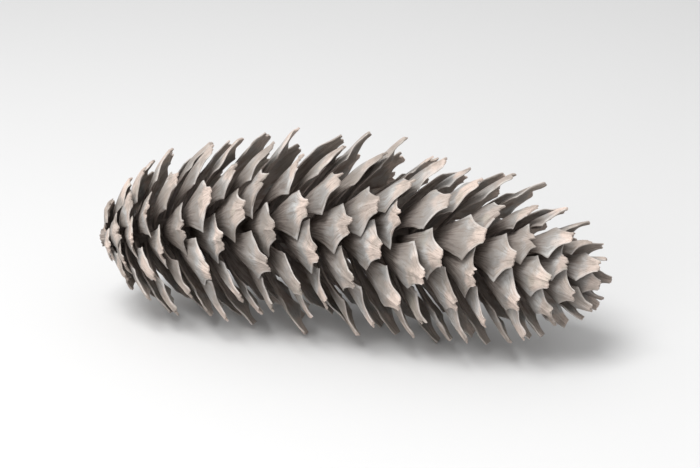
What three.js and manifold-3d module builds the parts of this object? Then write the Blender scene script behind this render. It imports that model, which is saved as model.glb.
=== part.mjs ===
// An open spruce cone lying on its side: a slightly curved woody axis with a stub of its stalk, and thin
// rhombic scales with blunt tongues, set round the axis in a golden-angle spiral and grown into it.
// Millimetres, +Z up. The axis runs along X from the stalk to the cone's own tip, arched upwards.
import * as THREE from "three";
import { mergeVertices } from "three/addons/utils/BufferGeometryUtils.js";
import Module from "manifold-3d";

// Driving dimensions of the whole cone
const CONE_LENGTH = 135;
const CONE_DIAMETER = 51;
const WIDEST_AT = 0.38; // share of the length, from the stalk end
const STALK_END_POWERS = [3, 0.5]; // fullness of the outline towards the stalk
const TIP_END_POWERS = [3.4, 0.5]; // and towards the cone's tip
const BEND_DEGREES = 26; // how far the axis turns from end to end
const BEND_TOWARDS_DEGREES = 35; // where the arched side faces, round the axis from straight up

// How the scales are laid out
const GOLDEN_DEGREES = 137.508;
const SPIRAL_START_DEGREES = 173; // where the first scale stands, round the axis from straight up
const CELL_AREA = 122; // surface over the tips that a full-size scale takes, in square millimetres
const FIRST_TIP_RADIUS = 5; // the lowest scales stand round the stalk
const LAST_TIP_RADIUS = 1.2;
const STALK_END = 0.25; // share of the length in which the scales round the stalk grow to full size
const TIP_END = 0.6; // share of the length from which they grow smaller and shorter
const TIP_END_POWER = 2.5; // how late they do so
const STALK_END_SIZE = 0.7; // size of the first scales against a full-size one
const TIP_END_SIZE = 0.58; // and of the last ones
const LAYOUT_STEPS = 6000;
const CELL_MIDDLE = 0.5; // a tip stands in the middle of its cell
const SEED = 20717; // chooses the set of draws

// How a scale stands: its mean angle to the axis, and how far it turns forward from root to tip
const OPEN_DEGREES = 56; // where the cone is widest
const STALK_END_DEGREES = 70; // round the stalk, or more where the roots crowd
const CROWDED_ROOTS = 0.2; // round the stalk, roots stand at this share of the way along to their tips
const CURL_DEGREES = 32;
const STALK_END_CURL_DEGREES = 52;

// One full-size scale
const SCALE_HALF_WIDTH = 6.6;
const CUP_RADIUS = 12; // the scale is hollow towards the axis
const ROOT_THICKNESS = 1.7;
const EDGE_THICKNESS = 0.72;
const THINNED_AT = 0.7; // share of its length at which a scale has its edge thickness
const ROOT_RADIUS = -0.8; // roots meet a little past the middle of the axis, sunk 4.4 into it
// From the root to the blunt tip: share of the length, share of the half width, points across the face
const SCALE_ROWS = [
  [0, 0.2, 1],
  [0.4, 0.38, 2],
  [0.75, 1, 3],
  [0.91, 0.44, 2],
  [1, 0.32, 2],
];

// How far single scales vary
const SPREAD_VARIES = 3.2; // degrees
const TURN_VARIES = 2; // degrees
const TWIST_VARIES = 7; // degrees
const SWAY_VARIES = 3; // degrees
const LENGTH_VARIES = 0.045; // share
const WIDTH_VARIES = 0.08; // share

// The woody axis
const CORE_RADIUS = 3.6;
const CORE_END_RADIUS = 1.1;
const CORE_TAPER = 40; // length of its thinner end
const CORE_PAST_ROOTS = 2; // how far it runs past the last scale's root
const CORE_START = 3.5; // where it has its full radius
const CORE_RINGS = 9;
const CORE_SIDES = 8;
const STALK_RADIUS = 2.6;
const STALK_LENGTH = 2;

// How the cone lies
const NOSE_DOWN_DEGREES = 0.25; // its tip end lies lower, as its weight brings it to rest
const FLAT_DEPTH = 0.6; // how much of the lowest scale tips is worn flat where the cone rests
const CUTTER = 300; // larger than the cone
const SAME_POINT = 1e-4; // corners closer than this are one

const RADIANS = Math.PI / 180;
const clamp = (value, low, high) => Math.min(high, Math.max(low, value));
const smooth = (from, to, value) => {
  const share = clamp((value - from) / (to - from), 0, 1);
  return share * share * (3 - 2 * share);
};
const mix = (from, to, share) => from + (to - from) * share;

// A repeatable draw from -1 to 1 for property k of scale n.
function draw(n, k) {
  let h = Math.imul(n + 1, 0x9e3779b1) ^ Math.imul(k + 1, 0x85ebca6b) ^ SEED;
  h = Math.imul(h ^ (h >>> 16), 0x21f0aaad);
  h = Math.imul(h ^ (h >>> 15), 0x735a2d97);
  return ((h ^ (h >>> 15)) >>> 0) / 2147483648 - 1;
}

// Radius over the scale tips at a share t of the length.
function tipRadius(t) {
  const towardsStalk = t < WIDEST_AT;
  const [inner, outer] = towardsStalk ? STALK_END_POWERS : TIP_END_POWERS;
  const away = towardsStalk ? 1 - t / WIDEST_AT : (t - WIDEST_AT) / (1 - WIDEST_AT);
  return (CONE_DIAMETER / 2) * Math.max(0, 1 - away ** inner) ** outer;
}

// How much smaller and shorter scales are towards the cone's tip, from 1 down to the last ones' size.
const sizeTowardsTip = (t) => mix(1, TIP_END_SIZE, clamp((t - TIP_END) / (1 - TIP_END), 0, 1) ** TIP_END_POWER);

// Size of a scale against a full-size one: smaller round the stalk and at the cone's tip.
const relativeSize = (t) => mix(STALK_END_SIZE, 1, smooth(0, STALK_END, t)) * sizeTowardsTip(t);

// Mean angle of a scale to the axis: straight out round the stalk, where the roots crowd, then open, and closing
// towards the cone's tip, where scales of a given length reach out less and less.
function spreadAt(t) {
  const crowded = Math.atan2(tipRadius(t) - ROOT_RADIUS, CONE_LENGTH * t * (1 - CROWDED_ROOTS));
  const open = RADIANS * mix(STALK_END_DEGREES, OPEN_DEGREES, smooth(0, WIDEST_AT, t));
  if (t < WIDEST_AT) return Math.max(open, crowded);
  const reach = (tipRadius(t) - ROOT_RADIUS) / (tipRadius(WIDEST_AT) - ROOT_RADIUS);
  return Math.asin((Math.sin(RADIANS * OPEN_DEGREES) * reach) / sizeTowardsTip(t));
}

// One scale's own measures, from where its tip stands along the cone. A scale is an arc from root to tip.
function scaleAt(n, t) {
  const size = relativeSize(t);
  const spread = spreadAt(t);
  const curl = RADIANS * mix(STALK_END_CURL_DEGREES, CURL_DEGREES, smooth(0, STALK_END, t));
  const chord = (tipRadius(t) - ROOT_RADIUS) / Math.sin(spread);
  const length = (chord * curl) / 2 / Math.sin(curl / 2);
  return {
    size,
    curl,
    rootX: CONE_LENGTH * t - chord * Math.cos(spread),
    spread: spread + RADIANS * SPREAD_VARIES * draw(n, 0),
    length: length * (1 + LENGTH_VARIES * draw(n, 1)),
    turn: RADIANS * (SPIRAL_START_DEGREES + n * GOLDEN_DEGREES + TURN_VARIES * draw(n, 2)),
    halfWidth: SCALE_HALF_WIDTH * size * (1 + WIDTH_VARIES * draw(n, 3)),
    twist: Math.tan(RADIANS * TWIST_VARIES * draw(n, 4)),
    sway: Math.tan(RADIANS * SWAY_VARIES * draw(n, 5)),
  };
}

// Scale tips share out the surface over them evenly, so each next tip stands where one more cell is full.
function layOutScales() {
  const scales = [];
  let filled = 0;
  let before = 0;
  for (let i = 1; i <= LAYOUT_STEPS; i++) {
    const t = i / LAYOUT_STEPS;
    const radius = tipRadius(t);
    const strip = Math.hypot(CONE_LENGTH / LAYOUT_STEPS, radius - before);
    before = radius;
    if (t < WIDEST_AT && radius < FIRST_TIP_RADIUS) continue;
    if (t > WIDEST_AT && radius < LAST_TIP_RADIUS) break;
    filled += (2 * Math.PI * radius * strip) / (CELL_AREA * relativeSize(t) ** 2);
    if (filled > scales.length + CELL_MIDDLE) scales.push(scaleAt(scales.length, t));
  }
  return scales;
}

// Half width of a scale at a share v of its length, as a share of its full half width.
function outlineAt(v) {
  const next = SCALE_ROWS.findIndex(([at], k) => k > 0 && v <= at);
  const [v0, w0] = SCALE_ROWS[next - 1];
  const [v1, w1] = SCALE_ROWS[next];
  return mix(w0, w1, (v - v0) / (v1 - v0));
}

// The axis is part of a circle: what stands at a place along the straight cone turns with it.
function bend(point) {
  const towards = RADIANS * BEND_TOWARDS_DEGREES;
  const radius = CONE_LENGTH / (RADIANS * BEND_DEGREES);
  const angle = (point.x - CONE_LENGTH / 2) / radius;
  const arched = new THREE.Vector3(0, Math.sin(towards), Math.cos(towards));
  const height = point.dot(arched);
  const bent = point.clone().addScaledVector(arched, -height);
  bent.x = (radius + height) * Math.sin(angle);
  return bent.addScaledVector(arched, (radius + height) * Math.cos(angle) - radius);
}

// A point of a scale: u from -1 to 1 across it, v from 0 at the root to 1 at the tip, side -1 outside, 1 inside.
function scalePoint(scale, u, v, side) {
  const start = scale.spread + scale.curl / 2;
  const angle = start - scale.curl * v;
  const arcRadius = scale.length / scale.curl;
  const along = arcRadius * (Math.sin(start) - Math.sin(angle));
  const out = arcRadius * (Math.cos(angle) - Math.cos(start));
  const across = u * scale.halfWidth * outlineAt(v);
  const cup = (across * across) / (2 * CUP_RADIUS * scale.size) + across * scale.twist * v;
  const thickness = mix(ROOT_THICKNESS * scale.size, EDGE_THICKNESS, smooth(0, THINNED_AT, v));
  const inward = cup + (side * thickness) / 2;
  const axial = scale.rootX + along + inward * Math.sin(angle);
  const radial = ROOT_RADIUS + out - inward * Math.cos(angle);
  const sideways = across + scale.sway * scale.length * v;
  const c = Math.cos(scale.turn);
  const s = Math.sin(scale.turn);
  return bend(new THREE.Vector3(axial, radial * s + sideways * c, radial * c - sideways * s));
}

// Triangles between two rows of a face, given as lists of point numbers.
function stitch(low, high, add) {
  let i = 0;
  let j = 0;
  while (i < low.length - 1 || j < high.length - 1) {
    const nextLow = (i + 1) / (low.length - 1);
    const nextHigh = (j + 1) / (high.length - 1);
    if (j >= high.length - 1 || (i < low.length - 1 && nextLow <= nextHigh)) {
      add(low[i], low[i + 1], high[j]);
      i++;
    } else {
      add(low[i], high[j + 1], high[j]);
      j++;
    }
  }
}

// The point numbers round a face: from the root up one side, back along the tip and down the other side.
function edgeLoop(rows) {
  const last = rows.length - 1;
  const right = rows.slice(1, last).map((row) => row[row.length - 1]);
  const left = rows.slice(1, last).map((row) => row[0]);
  return [...rows[0], ...right, ...rows[last].slice().reverse(), ...left.reverse()];
}

// One scale as a closed thin solid: two like faces that meet in the root, and the edge between them.
function scaleGeometry(scale) {
  const positions = [];
  const index = [];
  const addPoint = (u, v, side) => {
    positions.push(...scalePoint(scale, u, v, side).toArray());
    return positions.length / 3 - 1;
  };
  const addRow = ([v, , count], side) =>
    Array.from({ length: count }, (_, k) => addPoint((2 * k) / (count - 1) - 1, v, side));
  const addTriangle = (a, b, c) => {
    if (a !== b && b !== c && c !== a) index.push(a, b, c);
  };
  const root = [addPoint(0, 0, 0)];
  const [outer, inner] = [-1, 1].map((side) => [root, ...SCALE_ROWS.slice(1).map((row) => addRow(row, side))]);
  for (let r = 0; r + 1 < SCALE_ROWS.length; r++) {
    stitch(outer[r], outer[r + 1], (a, b, c) => addTriangle(a, c, b));
    stitch(inner[r], inner[r + 1], addTriangle);
  }
  const outerEdge = edgeLoop(outer);
  const innerEdge = edgeLoop(inner);
  for (let k = 0; k < outerEdge.length; k++) {
    const next = (k + 1) % outerEdge.length;
    addTriangle(outerEdge[k], outerEdge[next], innerEdge[k]);
    addTriangle(innerEdge[k], outerEdge[next], innerEdge[next]);
  }
  const geometry = new THREE.BufferGeometry();
  geometry.setAttribute("position", new THREE.Float32BufferAttribute(positions, 3));
  geometry.setIndex(index);
  return geometry;
}

// The axis with its stub of stalk, turned about X and bent like the rest.
function coreGeometry(lastRoot) {
  const end = lastRoot + CORE_PAST_ROOTS;
  const profile = [
    new THREE.Vector2(0, -STALK_LENGTH),
    new THREE.Vector2(STALK_RADIUS, -STALK_LENGTH),
    new THREE.Vector2(STALK_RADIUS, 0),
  ];
  for (let k = 0; k <= CORE_RINGS; k++) {
    const x = mix(CORE_START, end, k / CORE_RINGS);
    profile.push(new THREE.Vector2(mix(CORE_RADIUS, CORE_END_RADIUS, smooth(end - CORE_TAPER, end, x)), x));
  }
  profile.push(new THREE.Vector2(0, end));
  const geometry = new THREE.LatheGeometry(profile, CORE_SIDES).rotateZ(-Math.PI / 2);
  const position = geometry.getAttribute("position");
  for (let i = 0; i < position.count; i++) {
    const point = bend(new THREE.Vector3().fromBufferAttribute(position, i));
    position.setXYZ(i, point.x, point.y, point.z);
  }
  return geometry;
}

const wasm = await Module();
wasm.setup();

function toSolid(geometry) {
  const bare = geometry.index ? geometry.toNonIndexed() : geometry.clone();
  bare.deleteAttribute("normal");
  bare.deleteAttribute("uv");
  const merged = mergeVertices(bare, SAME_POINT);
  const mesh = new wasm.Mesh({
    numProp: 3,
    vertProperties: merged.attributes.position.array,
    triVerts: new Uint32Array(merged.index.array),
  });
  return new wasm.Manifold(mesh);
}

function toGeometry(solid) {
  const mesh = solid.getMesh();
  const geometry = new THREE.BufferGeometry();
  geometry.setAttribute("position", new THREE.Float32BufferAttribute(mesh.vertProperties, 3));
  geometry.setIndex(new THREE.Uint32BufferAttribute(mesh.triVerts, 1));
  return geometry;
}

// The axis with every scale grown into it, as one body.
function growCone() {
  const scales = layOutScales();
  const lastRoot = Math.max(...scales.map((scale) => scale.rootX));
  let whole = toSolid(coreGeometry(lastRoot));
  for (const scale of scales) whole = whole.add(toSolid(scaleGeometry(scale)));
  return whole;
}

// Lays the cone down, wears its lowest tips flat and centres it over the origin.
function layDown(solid) {
  const lying = toGeometry(solid).rotateY(RADIANS * NOSE_DOWN_DEGREES);
  lying.computeBoundingBox();
  const { min, max } = lying.boundingBox;
  lying.translate(-(min.x + max.x) / 2, -(min.y + max.y) / 2, -min.z - FLAT_DEPTH);
  const under = new THREE.BoxGeometry(CUTTER, CUTTER, CUTTER).translate(0, 0, -CUTTER / 2);
  return toSolid(lying).subtract(toSolid(under));
}

const cone = new THREE.Mesh(
  toGeometry(layDown(growCone())),
  new THREE.MeshStandardMaterial({ color: 0xb9aea5, roughness: 0.9, metalness: 0 }),
);
cone.name = "spruce_cone";

const group = new THREE.Group();
group.add(cone);
export default group;
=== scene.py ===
import math

import bmesh
import bpy
import numpy as np
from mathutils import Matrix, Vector


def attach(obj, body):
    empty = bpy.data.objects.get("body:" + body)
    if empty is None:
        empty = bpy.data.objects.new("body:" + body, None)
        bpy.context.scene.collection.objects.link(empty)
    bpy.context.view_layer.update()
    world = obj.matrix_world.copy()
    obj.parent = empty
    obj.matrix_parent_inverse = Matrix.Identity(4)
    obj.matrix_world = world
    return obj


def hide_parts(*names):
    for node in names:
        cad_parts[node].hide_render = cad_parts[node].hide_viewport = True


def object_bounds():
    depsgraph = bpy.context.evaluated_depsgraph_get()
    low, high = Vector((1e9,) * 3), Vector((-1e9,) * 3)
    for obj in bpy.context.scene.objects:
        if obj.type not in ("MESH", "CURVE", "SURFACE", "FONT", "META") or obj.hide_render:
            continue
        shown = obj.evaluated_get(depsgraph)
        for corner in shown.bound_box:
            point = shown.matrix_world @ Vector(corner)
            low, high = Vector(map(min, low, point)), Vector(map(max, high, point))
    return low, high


RADIANS = math.pi / 180
MILLIMETRE = 0.001

# Whole cone, as in the CAD model
CONE_LENGTH = 135
CONE_DIAMETER = 51
WIDEST_AT = 0.38
STALK_END_POWERS = (3, 0.5)
TIP_END_POWERS = (3.4, 0.5)
BEND_DEGREES = 26
BEND_TOWARDS_DEGREES = 35
NOSE_DOWN_DEGREES = 0.25
LYING_SHIFT = (1.198, 0.352, 25.94)

# Layout of the scales, as in the CAD model
GOLDEN_DEGREES = 137.508
SPIRAL_START_DEGREES = 173
CELL_AREA = 122
FIRST_TIP_RADIUS = 5
LAST_TIP_RADIUS = 1.2
STALK_END = 0.25
TIP_END = 0.6
TIP_END_POWER = 2.5
STALK_END_SIZE = 0.7
TIP_END_SIZE = 0.58
LAYOUT_STEPS = 6000

# Stance of a scale, as in the CAD model
OPEN_DEGREES = 56
STALK_END_DEGREES = 70
CROWDED_ROOTS = 0.2
CURL_DEGREES = 32
STALK_END_CURL_DEGREES = 52
SCALE_HALF_WIDTH = 6.6
CUP_RADIUS = 12
ROOT_RADIUS = -0.8
SPREAD_VARIES = 3.2
TURN_VARIES = 2
TWIST_VARIES = 7
SWAY_VARIES = 3
LENGTH_VARIES = 0.045
WIDTH_VARIES = 0.08

# Repeatable draws: the hash is the CAD model's, and so are the numbers of the first six.
# Waves use the numbers that follow theirs too, one for each further count.
# The last two are for the axis, as draws of scales 0 and 1.
SEED = 20717
MASK = 0xFFFFFFFF
HASH_MULTIPLIERS = (0x9E3779B1, 0x85EBCA6B, 0x21F0AAAD, 0x735A2D97)
DRAW_NUMBERS = {
    "spread": 0,
    "length": 1,
    "turn": 2,
    "width": 3,
    "twist": 4,
    "sway": 5,
    "left_margin": 10,
    "right_margin": 14,
    "notch_depth": 18,
    "notch_place": 19,
    "end_line": 20,
    "folds": 23,
    "folds_wander": 30,
    "left_flutter": 33,
    "right_flutter": 36,
    "ragged": 40,
    "lopsided": 41,
    "chipped": 42,
    "chip_slope": 43,
    "chip_line": 44,
    "tongue_lift": 47,
    "left_corner_lift": 48,
    "right_corner_lift": 49,
    "tone": 50,
    "ridges": 60,
    "splinters": 70,
}

# Mesh of a fine scale: rows up to just below its corner, round the corner, and over its tongue
BELOW_CORNER = 0.6
CORNER_AT = 0.75
ROWS_BELOW = 7
ROWS_TO_CORNER = 6
ROWS_TO_TIP = 13
COLUMNS = 20
COLUMNS_EVEN = 0.6

# Width of a fine scale: share of its length against share of its half width, then what makes it uneven.
# Here and below, a name that ends in OVER gives the shares of the length over which a form comes in, and one
# that ends in COUNTS gives how many waves it has, over a length or a width.
OUTLINE_AT = (0, 0.15, 0.3, 0.45, 0.6, 0.69, 0.75, 0.79, 0.83, 0.87, 0.91, 0.95, 1)
OUTLINE_WIDTH = (0.2, 0.25, 0.33, 0.47, 0.7, 0.88, 1, 0.84, 0.69, 0.56, 0.46, 0.39, 0.33)
RAGGED = 0.03
RAGGED_VARIES = 0.4
RAGGED_WHERE_WORN = 1.2
RAGGED_COUNTS = ((7, 15, 31), (8, 17, 29))
RAGGED_OVER = (0.3, 0.6)
LOPSIDED = 0.09
LOPSIDED_OVER = (0.45, 0.75)

# What is missing at the end of a fine scale, as shares of its length
NOTCH_DEPTH = 0.022
NOTCH_WIDTH = 0.4
NOTCH_WANDER = 0.3
CHIP_DEPTH = 0.1
CHIP_DEEPER_WHERE_WORN = 0.25
CHIPPED_ABOVE = 0.62
CHIP_SLOPE = 0.5
CHIP_LINE = 0.3
CHIP_COUNTS = (0.7, 1.6)
TIP_ROUNDED = 0.022
END_LINE = 0.006
END_COUNTS = (2.3, 4.1)
SHORTENED_OVER = (0.6, 1)

# Scales that may stand on the floor, by the cosine of their turn: none above the first, all below the second
POINTS_DOWN = (-0.88, -0.95)

# Layers and relief of a fine scale
ROOT_THICKNESS = 1.6
EDGE_THICKNESS = 0.55
THINNED_OVER = (0, 0.7)
MARGIN_THINNED = 0.45
RIM_ROUNDED = 0.1
KEELED = 0.45
KEELED_OVER = (0.4, 0.7)
RELIEF_OVER = (0.4, 0.75)
KEEL_HEIGHT = 0.22
KEEL_WIDTH = 0.13
FOLD_HEIGHT = 0.13
FOLD_COUNTS = (1.3, 2.7, 4.9)
FOLDS_WANDER = 0.15
FOLDS_WANDER_COUNTS = (1, 2)
FLUTTER = 0.3
FLUTTER_COUNTS = ((2.5, 5.5), (3, 6))
TONGUE_LIFT = 0.7
TONGUE_LIFT_WHERE_WORN = 0.4
TONGUE_LIFT_OVER = (0.72, 1)
TONGUE_LIFT_POWER = 1.3
CORNER_LIFT = 0.35
CORNER_LIFT_OVER = (0.5, 0.75)

# The woody axis, as in the CAD model, with finer rings
CORE_RADIUS = 3.6
CORE_END_RADIUS = 1.1
CORE_TAPER = 40
CORE_PAST_ROOTS = 2
CORE_START = 3.5
CORE_POINT = 0.3
STALK_RADIUS = 2.6
STALK_LENGTH = 2
CORE_SIDES = 40
CORE_RINGS = 70
CORE_RELIEF = 0.18
RIDGE_COUNTS = (5, 9, 14)
RIDGE_LEAN = 0.01
KNOT_HEIGHT = 0.6
KNOTS_ALONG = 2.1
KNOTS_AROUND = 3
BREAK_SHARES = (0, 0.25, 0.5, 0.75, 0.93)
BREAK_RELIEF = 0.7
BREAK_COUNTS = (3, 5, 8)
SPLINTERS = 0.5
SPLINTER_COUNTS = (4, 11, 17)
STUB_NARROWED = 0.5

# Meshes: points nearer than the first are one, in metres, and edges sharper than the second look sharp
JOINED_WITHIN = 1e-6
SHARP_DEGREES = 50

# Values that the colours follow: how much paler scales are round the stalk, the shares of the length between
# which the radius over the tips tells how deep a point lies, and the axis's own values on its stub and inside
PALER_AT_STALK = 0.14
# How deep a point lies only sets painted shade; the stub and the axis get fixed depths for it below.
DEPTH_TOLD_BETWEEN = (0.04, 0.97)
STUB_VALUES = {"depth": 0.25, "along": 0.56}
AXIS_VALUES = {"depth": 0.9, "along": 0.3}
AXIS_TONE = 0.4

# Noise drawn out over a scale: stretch across it, stretch along it, scale, detail and roughness
DRAWN_OUT_NOISE = {
    "streaks": (11.0, 6.0, 1.0, 4.0, 0.6),
    "fibres": (38.0, 7.0, 1.0, 2.0, 0.55),
    "blotches": (2.0, 5.0, 1.4, 3.0, 0.55),
}
TONE_SHIFT = 40.0
INSIDE_SHIFT = 9.0

# Noise through the whole cone: scale, detail and roughness
SOLID_NOISE = {
    "grains": (2600.0, 3.0, 0.6),
    "patches": (170.0, 2.0, 0.55),
    "stains": (110.0, 4.0, 0.65),
}
START_WANDER = 0.22
TONGUE_WANDER = 0.4

# Ground colours: the value that each follows, the range of that value, and the colours at its two ends
WEATHERED = ("blotches", 0.35, 0.68, (0.345, 0.348, 0.345, 1), (0.50, 0.507, 0.50, 1))
COVERED = ("streaks", 0.35, 0.65, (0.14, 0.115, 0.10, 1), (0.27, 0.235, 0.21, 1))
WING = ("blotches", 0.4, 0.62, (0.24, 0.186, 0.158, 1), (0.40, 0.335, 0.295, 1))
OUTER_WEATHERED_OVER = (0.66, 0.88)
INNER_WEATHERED_OVER = (0.72, 0.95)

# Washes over the weathered colour, and then over the whole face: value, its range, most cover and colour.
# Some of them paint light and shade, as marked below.
WEATHERED_WASHES_AND_PAINTED_LIGHT = (
    # painted shade of the scale in front, together with some real darkening of the wood: darker towards the
    # base of each open part
    ("start", 1.06, 0.80, 0.7, (0.20, 0.185, 0.172, 1)),
    ("tongue", 0.97, 1.09, 0.8, (0.56, 0.44, 0.372, 1)),
    ("tone", 0.2, 1.0, 0.6, (0.25, 0.225, 0.205, 1)),
    # paler margins: real bleaching together with a painted highlight on the thin edges
    ("margin", 0.80, 1.0, 0.55, (0.53, 0.51, 0.485, 1)),
    ("patches", 0.58, 0.72, 0.35, (0.30, 0.305, 0.25, 1)),
    ("stains", 0.44, 0.62, 0.75, (0.235, 0.205, 0.18, 1)),
    ("streaks", 0.50, 0.32, 0.7, (0.20, 0.165, 0.14, 1)),
    ("fibres", 0.50, 0.35, 0.3, (0.20, 0.18, 0.165, 1)),
)
GRAINS_AND_PAINTED_SHADE_WASHES = (
    ("grains", 0.42, 0.30, 0.35, (0.14, 0.11, 0.095, 1)),
    # painted shade: nearly black laid on more the deeper a point lies among the scales, the axis included
    ("depth", 0.28, 0.85, 0.65, (0.06, 0.046, 0.04, 1)),
)

# Socket numbers of the colour inputs and output of a Mix node, whose names occur more than once
MIX_FACTOR, MIX_FIRST, MIX_SECOND = 0, 6, 7
MIX_RESULT = 2

# Surface of the wood
GRAIN_HEIGHTS = {"grains": 0.3, "streaks": 0.5, "fibres": 0.25}
BUMP_STRENGTH = 0.55
BUMP_DISTANCE = 0.00035
ROUGHNESS_RANGE = (0.3, 0.7, 0.72, 0.95)
SPECULAR = 0.3

# Pieces, floor, lights and camera: places and sizes in metres
PIECE_NAMES = ("scales_round_stalk", "scales_middle", "scales_round_tip")
FLOOR_HALF_WIDTH = 4
FLOOR_COLOUR = (0.53, 0.53, 0.53, 1)
FLOOR_ROUGHNESS = 0.9
WORLD_COLOUR = (1, 1, 1, 1)
WORLD_STRENGTH = 0.78
KEY_LIGHT = {"place": (-0.16, -0.3, 0.8), "size": 0.45, "power": 8.4}
FILL_LIGHT = {"place": (-0.25, -0.85, 0.22), "size": 0.6, "power": 3.8}
CAMERA_AZIMUTH = 15
CAMERA_ELEVATION = 22
CAMERA_LENS = 85
CAMERA_DISTANCE = 0.43


def smooth(start, end, value):
    """A smooth step from 0 at start to 1 at end."""
    share = np.clip((value - start) / (end - start), 0, 1)
    return share * share * (3 - 2 * share)


def mix(start, end, share):
    """From start to end as share goes from 0 to 1."""
    return start + (end - start) * share


def draw(n, name, step=0):
    """A repeatable draw from -1 to 1 for one property of scale n."""
    first, second, third, fourth = HASH_MULTIPLIERS
    number = DRAW_NUMBERS[name] + step
    h = (((n + 1) * first) ^ ((number + 1) * second) ^ SEED) & MASK
    h = ((h ^ (h >> 16)) * third) & MASK
    h = ((h ^ (h >> 15)) * fourth) & MASK
    return (h ^ (h >> 15)) / 2**31 - 1


def waves(x, n, name, counts):
    """A repeatable wavy line over x, roughly from -1 to 1, with one wave for each count."""
    total = 0
    for i, count in enumerate(counts):
        total = total + np.sin(2 * math.pi * (count * x + draw(n, name, i))) / (i + 1)
    return total / sum(1 / (i + 1) for i in range(len(counts)))


def tip_radius(t):
    """Radius over the scale tips at a share t of the length."""
    before = np.abs(1 - t / WIDEST_AT)
    towards_stalk = np.maximum(0, 1 - before ** STALK_END_POWERS[0]) ** STALK_END_POWERS[1]
    past = np.abs(t - WIDEST_AT) / (1 - WIDEST_AT)
    towards_tip = np.maximum(0, 1 - past ** TIP_END_POWERS[0]) ** TIP_END_POWERS[1]
    return CONE_DIAMETER / 2 * np.where(t < WIDEST_AT, towards_stalk, towards_tip)


def size_towards_tip(t):
    """How much smaller and shorter scales are towards the cone's tip."""
    return mix(1, TIP_END_SIZE, max(0, (t - TIP_END) / (1 - TIP_END)) ** TIP_END_POWER)


def relative_size(t):
    """Size of a scale against a full-size one."""
    return mix(STALK_END_SIZE, 1, smooth(0, STALK_END, t)) * size_towards_tip(t)


def spread_at(t):
    """Mean angle of a scale to the axis."""
    if t < WIDEST_AT:
        crowded = math.atan2(tip_radius(t) - ROOT_RADIUS, CONE_LENGTH * t * (1 - CROWDED_ROOTS))
        return max(RADIANS * mix(STALK_END_DEGREES, OPEN_DEGREES, smooth(0, WIDEST_AT, t)), crowded)
    reach = (tip_radius(t) - ROOT_RADIUS) / (tip_radius(WIDEST_AT) - ROOT_RADIUS)
    return math.asin(math.sin(RADIANS * OPEN_DEGREES) * reach / size_towards_tip(t))


def scale_at(n, t):
    """One scale's own measures, from where its tip stands along the cone."""
    size = relative_size(t)
    spread = spread_at(t)
    curl = RADIANS * mix(STALK_END_CURL_DEGREES, CURL_DEGREES, smooth(0, STALK_END, t))
    chord = (tip_radius(t) - ROOT_RADIUS) / math.sin(spread)
    length = chord * curl / 2 / math.sin(curl / 2)
    turn = RADIANS * (SPIRAL_START_DEGREES + n * GOLDEN_DEGREES + TURN_VARIES * draw(n, "turn"))
    return {
        "n": n,
        "size": size,
        "worn": 1 - smooth(0, STALK_END, t),
        "curl": curl,
        "root_x": CONE_LENGTH * t - chord * math.cos(spread),
        "spread": spread + RADIANS * SPREAD_VARIES * draw(n, "spread"),
        "length": length * (1 + LENGTH_VARIES * draw(n, "length")),
        "turn": turn,
        "free": 1 - smooth(*POINTS_DOWN, math.cos(turn)),
        "half_width": SCALE_HALF_WIDTH * size * (1 + WIDTH_VARIES * draw(n, "width")),
        "twist": math.tan(RADIANS * TWIST_VARIES * draw(n, "twist")),
        "sway": math.tan(RADIANS * SWAY_VARIES * draw(n, "sway")),
    }


def lay_out_scales():
    """Each next tip stands where its own cell of the surface over the tips is half full."""
    scales = []
    filled = 0
    before = 0
    for i in range(1, LAYOUT_STEPS + 1):
        t = i / LAYOUT_STEPS
        radius = tip_radius(t)
        slant = math.hypot(CONE_LENGTH / LAYOUT_STEPS, radius - before)
        before = radius
        if t < WIDEST_AT and radius < FIRST_TIP_RADIUS:
            continue
        if t > WIDEST_AT and radius < LAST_TIP_RADIUS:
            break
        filled += 2 * math.pi * radius * slant / (CELL_AREA * relative_size(t) ** 2)
        if filled > len(scales) + 0.5:
            scales.append(scale_at(len(scales), t))
    return scales


def bend(points):
    """Turns points of the straight cone onto its arched axis."""
    towards = RADIANS * BEND_TOWARDS_DEGREES
    radius = CONE_LENGTH / (RADIANS * BEND_DEGREES)
    angle = (points[..., 0] - CONE_LENGTH / 2) / radius
    arched = np.array([0, math.sin(towards), math.cos(towards)])
    height = points @ arched
    bent = points - height[..., None] * arched
    bent[..., 0] = (radius + height) * np.sin(angle)
    return bent + ((radius + height) * np.cos(angle) - radius)[..., None] * arched


def lay_down(points):
    """Lays the bent cone down as the CAD model lies, worn flat where it would reach below the floor."""
    nose = RADIANS * NOSE_DOWN_DEGREES
    c, s = math.cos(nose), math.sin(nose)
    x, y, z = np.moveaxis(bend(points), -1, 0)
    laid = np.stack([x * c + z * s, y, z * c - x * s], -1) + np.array(LYING_SHIFT)
    laid[..., 2] = np.maximum(laid[..., 2], 0)
    return laid


def shelter(axial, radial):
    """How deep a point lies among the scales: 0 at the tips, 1 on the axis. It sets the painted shade of the
    wood.
    """
    reach = np.maximum(tip_radius(np.clip(axial / CONE_LENGTH, *DEPTH_TOLD_BETWEEN)), CORE_RADIUS)
    return np.clip(1 - radial / reach, 0, 1)


# In what follows, u is the share of a scale's half width, from -1 to 1, and rows is the share of its length.


def margin_waves(u, rows, n, names, counts):
    """Waves up both margins of a scale, with names and counts for its left and its right side."""
    left, right = [waves(rows, n, name, own) for name, own in zip(names, counts)]
    return np.where(u < 0, left, right)


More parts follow.
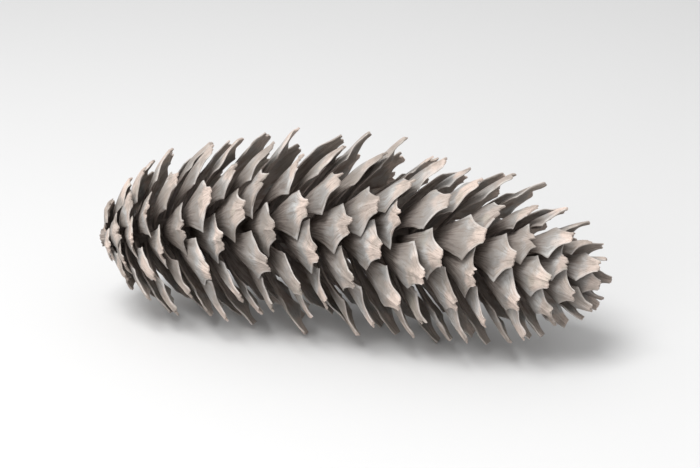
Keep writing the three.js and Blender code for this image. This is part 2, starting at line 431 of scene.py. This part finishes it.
def row_half_width(scale, u, rows):
    """Half width of a scale in each row, uneven towards its margins."""
    n, worn = scale["n"], scale["worn"]
    varied = 1 - RAGGED_VARIES + RAGGED_VARIES * draw(n, "ragged") + RAGGED_WHERE_WORN * worn
    ragged = RAGGED * varied * margin_waves(u, rows, n, ("left_margin", "right_margin"), RAGGED_COUNTS)
    lopsided = LOPSIDED * (1 + worn) * draw(n, "lopsided") * np.sign(u) * smooth(*LOPSIDED_OVER, rows)
    width = scale["half_width"] * np.interp(rows, OUTLINE_AT, OUTLINE_WIDTH)
    return width * (1 + ragged * smooth(*RAGGED_OVER, rows) * np.abs(u) ** 4) * (1 + lopsided)


def missing_at_end(scale, u):
    """Share of a scale's length that its notch, its chip, its round corners and its uneven line take away."""
    n, worn = scale["n"], scale["worn"]
    from_notch = (u - NOTCH_WANDER * draw(n, "notch_place")) / NOTCH_WIDTH
    notch = NOTCH_DEPTH * (1 + draw(n, "notch_depth")) * np.exp(-(from_notch**2))
    slanting = 1 + CHIP_SLOPE * draw(n, "chip_slope") * u + CHIP_LINE * waves(u, n, "chip_line", CHIP_COUNTS)
    is_chipped = draw(n, "chipped") > CHIPPED_ABOVE - worn
    chip = CHIP_DEPTH * (1 + CHIP_DEEPER_WHERE_WORN * worn) * is_chipped * slanting
    return notch + chip + TIP_ROUNDED * np.abs(u) ** 3 + END_LINE * waves(u, n, "end_line", END_COUNTS)


def cup(scale, across, rows):
    """How far a scale's sides stand inward of its middle: cupped at its root, partly keeled further up."""
    curved = across**2
    keeled = np.abs(across) * scale["half_width"]
    return mix(curved, keeled, KEELED * smooth(*KEELED_OVER, rows)) / (2 * CUP_RADIUS * scale["size"])


def relief(scale, u, rows):
    """How far folds, margins, tongue and corners stand inward, less the keel on the outer face."""
    n, size, worn = scale["n"], scale["size"], scale["worn"]
    edge = np.abs(u)
    shown = smooth(*RELIEF_OVER, rows)
    wander = FOLDS_WANDER * waves(rows, n, "folds_wander", FOLDS_WANDER_COUNTS)
    folds = FOLD_HEIGHT * size * waves(u + wander, n, "folds", FOLD_COUNTS) * shown
    fluttering = margin_waves(u, rows, n, ("left_flutter", "right_flutter"), FLUTTER_COUNTS)
    flutter = FLUTTER * size * edge**3 * fluttering * shown
    tongue = draw(n, "tongue_lift") * smooth(*TONGUE_LIFT_OVER, rows) ** TONGUE_LIFT_POWER
    lift = TONGUE_LIFT * (1 + TONGUE_LIFT_WHERE_WORN * worn) * size * scale["free"] * tongue
    corner = np.where(u < 0, draw(n, "left_corner_lift"), draw(n, "right_corner_lift"))
    corner_lift = CORNER_LIFT * size * corner * edge**2 * smooth(*CORNER_LIFT_OVER, rows)
    keel = KEEL_HEIGHT * size * np.exp(-((u / KEEL_WIDTH) ** 2)) * shown
    return folds + flutter + lift + corner_lift - keel


def place_on_cone(scale, across, v, inward):
    """Sets points at a share v of a scale's length on the straight cone, and gives how deep each lies."""
    start = scale["spread"] + scale["curl"] / 2
    angle = start - scale["curl"] * v
    arc_radius = scale["length"] / scale["curl"]
    along = arc_radius * (math.sin(start) - np.sin(angle))
    out = arc_radius * (np.cos(angle) - math.cos(start))
    axial = scale["root_x"] + along + inward * np.sin(angle)
    radial = ROOT_RADIUS + out - inward * np.cos(angle)
    sideways = across + scale["sway"] * scale["length"] * v
    c, s = math.cos(scale["turn"]), math.sin(scale["turn"])
    straight = np.stack([axial, radial * s + sideways * c, radial * c - sideways * s], -1)
    return straight, shelter(axial, np.hypot(radial, sideways))


def scale_layer(scale, u, rows, side):
    """Points over a scale: side -1 is its outer face, 1 the inner one, and 0 the rim half way between."""
    edge = np.abs(u)
    across = u * row_half_width(scale, u, rows)
    v = rows * (1 - missing_at_end(scale, u) * scale["free"] * smooth(*SHORTENED_OVER, rows))
    if side == 0:
        across = across + np.sign(u) * RIM_ROUNDED * (edge == 1)
        v = v + RIM_ROUNDED / scale["length"] * (rows == 1)
    thickness = mix(ROOT_THICKNESS * scale["size"], EDGE_THICKNESS, smooth(*THINNED_OVER, rows))
    thickness = thickness * (1 - MARGIN_THINNED * edge**3)
    inward = cup(scale, across, rows) + across * scale["twist"] * v + relief(scale, u, rows)
    return place_on_cone(scale, across, v, inward + side * thickness / 2)


def scale_rows():
    """Shares of a scale's length where its rows lie, closer together towards its tip."""
    below = np.linspace(0, BELOW_CORNER, ROWS_BELOW, endpoint=False)
    to_corner = np.linspace(BELOW_CORNER, CORNER_AT, ROWS_TO_CORNER, endpoint=False)
    to_tip = np.linspace(CORNER_AT, 1, ROWS_TO_TIP)
    return np.concatenate([below, to_corner, to_tip])


def scale_columns():
    """Shares of a scale's half width where its columns lie, closer together towards its margins."""
    even = np.linspace(-1, 1, COLUMNS + 1)
    return COLUMNS_EVEN * even + (1 - COLUMNS_EVEN) * np.sin(even * math.pi / 2)


def edge_loop(grid):
    """The point numbers round the edge of a grid of point numbers."""
    return np.concatenate([grid[0], grid[1:, -1], grid[-1, -2::-1], grid[-2:0:-1, 0]])


def strip(first, second):
    """Quads between two closed loops of point numbers."""
    return np.stack([first, np.roll(first, -1), np.roll(second, -1), second], -1)


def scale_faces(row_count, column_count):
    """Quads of one fine scale: its outer face, its inner face and the rim between them."""
    outer = np.arange(row_count * column_count).reshape(row_count, column_count)
    inner = outer + outer.size
    outer_edge = edge_loop(outer)
    rim = 2 * outer.size + np.arange(len(outer_edge))
    inner_edge = edge_loop(inner)
    outer_quads = np.stack([outer[:-1, :-1], outer[1:, :-1], outer[1:, 1:], outer[:-1, 1:]], -1)
    inner_quads = np.stack([inner[:-1, :-1], inner[:-1, 1:], inner[1:, 1:], inner[1:, :-1]], -1)
    sides = [strip(outer_edge, rim), strip(rim, inner_edge)]
    return np.concatenate([outer_quads.reshape(-1, 4), inner_quads.reshape(-1, 4), *sides])


def scale_part(scale, u, rows, side, picked):
    """The picked points of one layer of a scale, with the values that its colours follow."""
    points, depth = scale_layer(scale, u, rows, side)
    return {
        "points": points.reshape(-1, 3)[picked],
        "across": u.ravel()[picked],
        "along": rows.ravel()[picked] + PALER_AT_STALK * scale["worn"],
        "inside": np.full(len(picked), (1 + side) / 2),
        "depth": depth.ravel()[picked],
        "tone": np.full(len(picked), (1 + draw(scale["n"], "tone")) / 2),
    }


def scales_geometry(scales):
    """Points, quads and the named values of many fine scales."""
    u, rows = np.meshgrid(scale_columns(), scale_rows())
    numbers = np.arange(u.size)
    rim = edge_loop(numbers.reshape(u.shape))
    layers = ((-1, numbers), (1, numbers), (0, rim))
    parts = [scale_part(scale, u, rows, side, picked) for scale in scales for side, picked in layers]
    named = {name: np.concatenate([part[name] for part in parts]) for name in parts[0]}
    points = named.pop("points")
    points_each = len(points) // len(scales)
    faces = scale_faces(*u.shape)
    return points, np.concatenate([faces + i * points_each for i in range(len(scales))]), named


def core_radius(x, end):
    """Radius of the axis at x, without its relief: a stub of stalk, then wood that tapers to its end."""
    stub = mix(STALK_RADIUS, CORE_RADIUS, smooth(0, CORE_START, x))
    tapered = mix(CORE_RADIUS, CORE_END_RADIUS, smooth(end - CORE_TAPER, end, x))
    return np.where(x < CORE_START, stub, tapered)


def core_surface(end):
    """Distance along the axis, distance from it and turn round it, from the broken end to the last ring."""
    turn = np.linspace(0, 2 * math.pi, CORE_SIDES, endpoint=False)[None, :]
    around = turn / (2 * math.pi)
    x = np.linspace(-STALK_LENGTH, end, CORE_RINGS)[:, None]
    at_break = smooth(CORE_START, -STALK_LENGTH, x)
    knots = KNOT_HEIGHT * np.sin(KNOTS_ALONG * x + KNOTS_AROUND * turn)
    ridges = waves(around + RIDGE_LEAN * x, 0, "ridges", RIDGE_COUNTS) + knots
    radius = core_radius(x, end) + CORE_RELIEF * ridges * (1 + at_break) - STUB_NARROWED * at_break**4

    shares = np.array(BREAK_SHARES)[:, None]
    splinters = SPLINTERS * waves(around, 1, "splinters", SPLINTER_COUNTS)
    rough = BREAK_RELIEF * waves(around + shares, 1, "ridges", BREAK_COUNTS) * np.sin(math.pi * shares)
    broken = -STALK_LENGTH - rough + splinters * shares
    last = np.full((1, CORE_SIDES), end + CORE_POINT)
    axial = np.concatenate([broken, x + splinters * at_break**4, last])
    radial = np.concatenate([shares * radius[0], radius, np.zeros((1, CORE_SIDES))])
    return axial, radial, turn


def core_geometry(last_root):
    """Points, quads and the named values of the axis with its stub of stalk."""
    axial, radial, turn = core_surface(last_root + CORE_PAST_ROOTS)
    straight = np.stack([axial, radial * np.sin(turn), radial * np.cos(turn)], -1)
    grid = np.arange(radial.size).reshape(radial.shape)
    low, high = grid[:-1], grid[1:]
    quads = np.stack([low, high, np.roll(high, -1, 1), np.roll(low, -1, 1)], -1)
    on_stub = axial < 0
    named = {
        "across": np.tile(turn / math.pi - 1, (len(radial), 1)).ravel(),
        "along": np.where(on_stub, STUB_VALUES["along"], AXIS_VALUES["along"]).ravel(),
        "inside": np.zeros(radial.size),
        "depth": np.where(on_stub, STUB_VALUES["depth"], AXIS_VALUES["depth"]).ravel(),
        "tone": np.full(radial.size, AXIS_TONE),
    }
    return straight.reshape(-1, 3), quads.reshape(-1, 4), named


def join_points(mesh):
    """Makes one point of those that fall together, as in the middle of the axis's two ends."""
    editable = bmesh.new()
    editable.from_mesh(mesh)
    bmesh.ops.remove_doubles(editable, verts=editable.verts, dist=JOINED_WITHIN)
    editable.to_mesh(mesh)
    editable.free()


def add_object(name, data):
    """Puts a mesh, light or camera into the scene."""
    added = bpy.data.objects.new(name, data)
    bpy.context.scene.collection.objects.link(added)
    return added


def make_piece(name, geometry, material):
    """A mesh piece that stands for the CAD cone, with its named values as attributes."""
    straight, quads, named = geometry
    mesh = bpy.data.meshes.new(name)
    mesh.from_pydata((lay_down(straight) * MILLIMETRE).tolist(), [], quads.tolist())
    for key, values in named.items():
        mesh.attributes.new(key, "FLOAT", "POINT").data.foreach_set("value", values.astype(np.float32))
    join_points(mesh)
    mesh.validate()
    mesh.shade_smooth()
    mesh.set_sharp_from_angle(angle=SHARP_DEGREES * RADIANS)
    mesh.materials.append(material)
    piece = add_object(name, mesh)
    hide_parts("spruce_cone")
    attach(piece, "root")


class Shader:
    """Short calls for the nodes of one material."""

    def __init__(self, name):
        self.material = bpy.data.materials.new(name)
        self.material.use_nodes = True
        self.tree = self.material.node_tree
        self.surface = self.tree.nodes["Principled BSDF"]

    def feed(self, node, key, value):
        """Links a node's output to an input, or sets the input to a plain value."""
        if isinstance(value, bpy.types.NodeSocket):
            self.tree.links.new(value, node.inputs[key])
        else:
            node.inputs[key].default_value = value

    def node(self, kind, inputs, output=0, **settings):
        """Adds a node and gives one of its outputs."""
        made = self.tree.nodes.new(kind)
        for key, value in settings.items():
            setattr(made, key, value)
        for key, value in inputs.items():
            self.feed(made, key, value)
        return made.outputs[output]

    def attribute(self, name):
        return self.node("ShaderNodeAttribute", {}, "Fac", attribute_name=name)

    def combine(self, operation, *values):
        return self.node("ShaderNodeMath", dict(enumerate(values)), operation=operation)

    def ramp(self, value, low, high, to_low=0.0, to_high=1.0):
        """A smooth step of value between low and high."""
        inputs = {"Value": value, "From Min": low, "From Max": high, "To Min": to_low, "To Max": to_high}
        return self.node("ShaderNodeMapRange", inputs, interpolation_type="SMOOTHSTEP")

    def noise(self, place, scale, detail, roughness):
        inputs = {"Vector": place, "Scale": scale, "Detail": detail, "Roughness": roughness}
        return self.node("ShaderNodeTexNoise", inputs, "Fac")

    def place(self, x, y, z):
        return self.node("ShaderNodeCombineXYZ", {0: x, 1: y, 2: z})

    def colour(self, factor, first, second):
        """Goes from the first colour to the second as factor goes from 0 to 1."""
        inputs = {MIX_FACTOR: factor, MIX_FIRST: first, MIX_SECOND: second}
        return self.node("ShaderNodeMix", inputs, MIX_RESULT, data_type="RGBA")

    def into(self, socket, value):
        self.feed(self.surface, socket, value)


def wood_values(shader):
    """The values that the wood's colours and relief follow, by name."""
    values = {name: shader.attribute(name) for name in ("across", "along", "inside", "depth", "tone")}
    across, along = values["across"], values["along"]
    layer = shader.combine("MULTIPLY", values["inside"], INSIDE_SHIFT)
    layer = shader.combine("MULTIPLY_ADD", values["tone"], TONE_SHIFT, layer)
    for name, (stretch_across, stretch_along, *noise) in DRAWN_OUT_NOISE.items():
        x = shader.combine("MULTIPLY", across, stretch_across)
        y = shader.combine("MULTIPLY", along, stretch_along)
        values[name] = shader.noise(shader.place(x, y, layer), *noise)
    solid_place = shader.node("ShaderNodeTexCoord", {}, "Object")
    for name, noise in SOLID_NOISE.items():
        values[name] = shader.noise(solid_place, *noise)
    values["start"] = shader.combine("MULTIPLY_ADD", values["blotches"], START_WANDER, along)
    values["tongue"] = shader.combine("MULTIPLY_ADD", values["patches"], TONGUE_WANDER, along)
    values["margin"] = shader.combine("ABSOLUTE", across)
    return values


def ground(shader, values, name, low, high, first, second):
    """A ground colour between two tones."""
    return shader.colour(shader.ramp(values[name], low, high), first, second)


def wash(shader, values, base, washes):
    """Lays thin colours one after the other over a base colour."""
    for name, low, high, most, colour in washes:
        base = shader.colour(shader.ramp(values[name], low, high, 0.0, most), base, colour)
    return base


def wood_colour(shader, values):
    """Pale grey where a scale was in the open, tan at its tongue, brown where it was covered. Painted shade
    darkens it deep among the scales and towards the base of each open part, and the pale margins carry a
    painted highlight as well as real bleaching.
    """
    weathered = wash(shader, values, ground(shader, values, *WEATHERED), WEATHERED_WASHES_AND_PAINTED_LIGHT)
    outer_open = shader.ramp(values["start"], *OUTER_WEATHERED_OVER)
    inner_open = shader.ramp(values["start"], *INNER_WEATHERED_OVER)
    outer = shader.colour(outer_open, ground(shader, values, *COVERED), weathered)
    inner = shader.colour(inner_open, ground(shader, values, *WING), weathered)
    return wash(shader, values, shader.colour(values["inside"], outer, inner), GRAINS_AND_PAINTED_SHADE_WASHES)


def cone_wood():
    """The one material of the cone, for its scales and its axis."""
    shader = Shader("cone_wood")
    values = wood_values(shader)
    height = 0.0
    for name, share in GRAIN_HEIGHTS.items():
        height = shader.combine("MULTIPLY_ADD", values[name], share, height)
    bump = {"Strength": BUMP_STRENGTH, "Distance": BUMP_DISTANCE, "Height": height}
    shader.into("Base Color", wood_colour(shader, values))
    shader.into("Roughness", shader.ramp(values["blotches"], *ROUGHNESS_RANGE))
    shader.into("Normal", shader.node("ShaderNodeBump", bump, "Normal"))
    shader.into("Specular IOR Level", SPECULAR)
    return shader.material


def make_floor():
    """A plain pale floor at height 0."""
    shader = Shader("pale_floor")
    shader.into("Base Color", FLOOR_COLOUR)
    shader.into("Roughness", FLOOR_ROUGHNESS)
    far = FLOOR_HALF_WIDTH
    mesh = bpy.data.meshes.new("floor")
    mesh.from_pydata([(-far, -far, 0), (far, -far, 0), (far, far, 0), (-far, far, 0)], [], [(0, 1, 2, 3)])
    mesh.materials.append(shader.material)
    floor = add_object("floor", mesh)


def make_light(name, target, place, size, power):
    """A square light that faces the target."""
    light = bpy.data.lights.new(name, "AREA")
    light.size = size
    light.energy = power
    holder = add_object(name, light)
    holder.location = place
    holder.rotation_euler = (target - Vector(place)).to_track_quat("-Z", "Y").to_euler()


def light_scene(target):
    """Even light from all round, with a key light from above and a weaker one from the front."""
    world = bpy.data.worlds.new("studio")
    world.use_nodes = True
    background = world.node_tree.nodes["Background"]
    background.inputs["Color"].default_value = WORLD_COLOUR
    background.inputs["Strength"].default_value = WORLD_STRENGTH
    bpy.context.scene.world = world
    make_light("key", target, **KEY_LIGHT)
    make_light("fill", target, **FILL_LIGHT)
    bpy.context.scene.view_settings.view_transform = "Standard"


def make_camera(target):
    """The camera at the photo's viewing angle."""
    azimuth, elevation = RADIANS * CAMERA_AZIMUTH, RADIANS * CAMERA_ELEVATION
    level = math.cos(elevation)
    back = Vector((math.sin(azimuth) * level, -math.cos(azimuth) * level, math.sin(elevation)))
    camera = add_object("camera", bpy.data.cameras.new("camera"))
    camera.data.lens = CAMERA_LENS
    camera.location = target + back * CAMERA_DISTANCE
    camera.rotation_euler = (-back).to_track_quat("-Z", "Y").to_euler()
    bpy.context.scene.camera = camera


def corner_lists(box):
    return [list(corner) for corner in box]


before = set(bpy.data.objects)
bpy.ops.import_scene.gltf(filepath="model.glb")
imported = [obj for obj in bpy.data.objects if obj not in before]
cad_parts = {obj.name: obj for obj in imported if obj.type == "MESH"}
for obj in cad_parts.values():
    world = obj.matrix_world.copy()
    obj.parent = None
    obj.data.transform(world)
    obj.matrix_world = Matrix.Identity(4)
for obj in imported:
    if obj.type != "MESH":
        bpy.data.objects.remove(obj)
cad_box = corner_lists(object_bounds())

cone_scales = lay_out_scales()
wood = cone_wood()
scales_each = math.ceil(len(cone_scales) / len(PIECE_NAMES))
for index, piece_name in enumerate(PIECE_NAMES):
    first_scale = index * scales_each
    make_piece(piece_name, scales_geometry(cone_scales[first_scale : first_scale + scales_each]), wood)
make_piece("woody_axis", core_geometry(max(scale["root_x"] for scale in cone_scales)), wood)

middle = (Vector(cad_box[0]) + Vector(cad_box[1])) / 2
make_floor()
light_scene(middle)
make_camera(middle)
